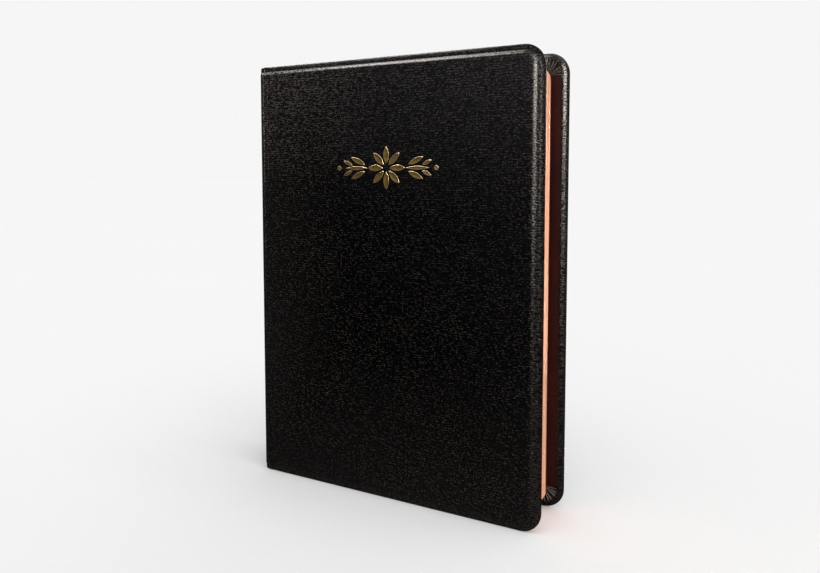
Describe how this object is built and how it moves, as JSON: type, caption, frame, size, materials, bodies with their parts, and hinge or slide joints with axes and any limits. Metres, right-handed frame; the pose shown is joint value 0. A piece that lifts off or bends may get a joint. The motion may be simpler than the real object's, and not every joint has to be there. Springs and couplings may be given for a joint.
{
  "type": "prayer book",
  "caption": "Closed limp-bound prayer book in grained black leather with a gold ornament, round fore-edge corners and salmon page edges; covers and leaves turn at the spine.",
  "frame": {"origin": "middle of the closed book's footprint, on the plane of its tail edges", "axes": "+X from the spine to the fore-edge, -Y out of the front cover, +Z from tail to head"},
  "size_m": [0.14, 0.0296, 0.19],
  "materials": {
    "black_leather": "fine cloth-like grain with a soft polish on the edges",
    "maroon_endpaper": "satin, deep maroon",
    "page_paper": "thin paper with salmon-dyed edges",
    "gold_leaf": "stamped gold leaf, worn",
    "card": "matte",
    "kraft_paper": "matte",
    "linen": "open weave, matte",
    "headband_cloth": "woven bands of maroon and cream"
  },
  "bodies": {
    "book_block": {"spine_leather": "black_leather", "front_joint_leather": "black_leather", "rear_joint_leather": "black_leather", "spine_stiffener": "card", "spine_paper_liner": "kraft_paper", "spine_mull": "linen", "sewing_tapes": "linen", "sewing_thread": "linen", "head_headband": "headband_cloth", "tail_headband": "headband_cloth", "front_gutter_folds": "page_paper", "rear_gutter_folds": "page_paper", "section_1": "page_paper", "section_2": "page_paper", "section_3": "page_paper", "section_4": "page_paper", "section_5": "page_paper", "section_6": "page_paper", "section_7": "page_paper", "section_8": "page_paper"},
    "front_cover": {"front_cover_leather": "black_leather", "front_cover_board": "card", "front_cover_lining": "maroon_endpaper", "front_cover_ornament": "gold_leaf"},
    "front_flyleaf": {"front_flyleaf": "maroon_endpaper"},
    "front_leaves_1": {"front_leaves_1": "page_paper"},
    "front_leaves_2": {"front_leaves_2": "page_paper"},
    "front_leaves_3": {"front_leaves_3": "page_paper"},
    "front_leaves_4": {"front_leaves_4": "page_paper"},
    "rear_cover": {"rear_cover_leather": "black_leather", "rear_cover_board": "card", "rear_cover_lining": "maroon_endpaper"},
    "rear_flyleaf": {"rear_flyleaf": "maroon_endpaper"},
    "rear_leaves_1": {"rear_leaves_1": "page_paper"},
    "rear_leaves_2": {"rear_leaves_2": "page_paper"},
    "rear_leaves_3": {"rear_leaves_3": "page_paper"},
    "rear_leaves_4": {"rear_leaves_4": "page_paper"}
  },
  "joints": [
    {"name": "front_cover_hinge", "type": "hinge", "parent": "book_block", "child": "front_cover", "pos_m": [-0.066, -0.01475, 0.095], "axis": [0, 0, -1], "range_deg": [0, 180]},
    {"name": "front_flyleaf_fold", "type": "hinge", "parent": "book_block", "child": "front_flyleaf", "pos_m": [-0.062, -0.0121, 0.095], "axis": [0, 0, -1], "range_deg": [0, 117]},
    {"name": "front_leaves_1_fold", "type": "hinge", "parent": "book_block", "child": "front_leaves_1", "pos_m": [-0.062, -0.01155, 0.095], "axis": [0, 0, -1], "range_deg": [0, 81]},
    {"name": "front_leaves_2_fold", "type": "hinge", "parent": "book_block", "child": "front_leaves_2", "pos_m": [-0.062, -0.0103, 0.095], "axis": [0, 0, -1], "range_deg": [0, 61.2]},
    {"name": "front_leaves_3_fold", "type": "hinge", "parent": "book_block", "child": "front_leaves_3", "pos_m": [-0.062, -0.00905, 0.095], "axis": [0, 0, -1], "range_deg": [0, 41.4]},
    {"name": "front_leaves_4_fold", "type": "hinge", "parent": "book_block", "child": "front_leaves_4", "pos_m": [-0.062, -0.0078, 0.095], "axis": [0, 0, -1], "range_deg": [0, 21.6]},
    {"name": "rear_cover_hinge", "type": "hinge", "parent": "book_block", "child": "rear_cover", "pos_m": [-0.066, 0.01475, 0.095], "axis": [0, 0, 1], "range_deg": [0, 180]},
    {"name": "rear_flyleaf_fold", "type": "hinge", "parent": "book_block", "child": "rear_flyleaf", "pos_m": [-0.062, 0.0121, 0.095], "axis": [0, 0, 1], "range_deg": [0, 117]},
    {"name": "rear_leaves_1_fold", "type": "hinge", "parent": "book_block", "child": "rear_leaves_1", "pos_m": [-0.062, 0.01155, 0.095], "axis": [0, 0, 1], "range_deg": [0, 81]},
    {"name": "rear_leaves_2_fold", "type": "hinge", "parent": "book_block", "child": "rear_leaves_2", "pos_m": [-0.062, 0.0103, 0.095], "axis": [0, 0, 1], "range_deg": [0, 61.2]},
    {"name": "rear_leaves_3_fold", "type": "hinge", "parent": "book_block", "child": "rear_leaves_3", "pos_m": [-0.062, 0.00905, 0.095], "axis": [0, 0, 1], "range_deg": [0, 41.4]},
    {"name": "rear_leaves_4_fold", "type": "hinge", "parent": "book_block", "child": "rear_leaves_4", "pos_m": [-0.062, 0.0078, 0.095], "axis": [0, 0, 1], "range_deg": [0, 21.6]}
  ],
  "couplings": [
    {"joint": "front_flyleaf_fold", "follows": "front_cover_hinge", "ratio": 0.65},
    {"joint": "front_leaves_1_fold", "follows": "front_cover_hinge", "ratio": 0.45},
    {"joint": "front_leaves_2_fold", "follows": "front_cover_hinge", "ratio": 0.34},
    {"joint": "front_leaves_3_fold", "follows": "front_cover_hinge", "ratio": 0.23},
    {"joint": "front_leaves_4_fold", "follows": "front_cover_hinge", "ratio": 0.12},
    {"joint": "rear_flyleaf_fold", "follows": "rear_cover_hinge", "ratio": 0.65},
    {"joint": "rear_leaves_1_fold", "follows": "rear_cover_hinge", "ratio": 0.45},
    {"joint": "rear_leaves_2_fold", "follows": "rear_cover_hinge", "ratio": 0.34},
    {"joint": "rear_leaves_3_fold", "follows": "rear_cover_hinge", "ratio": 0.23},
    {"joint": "rear_leaves_4_fold", "follows": "rear_cover_hinge", "ratio": 0.12}
  ]
}
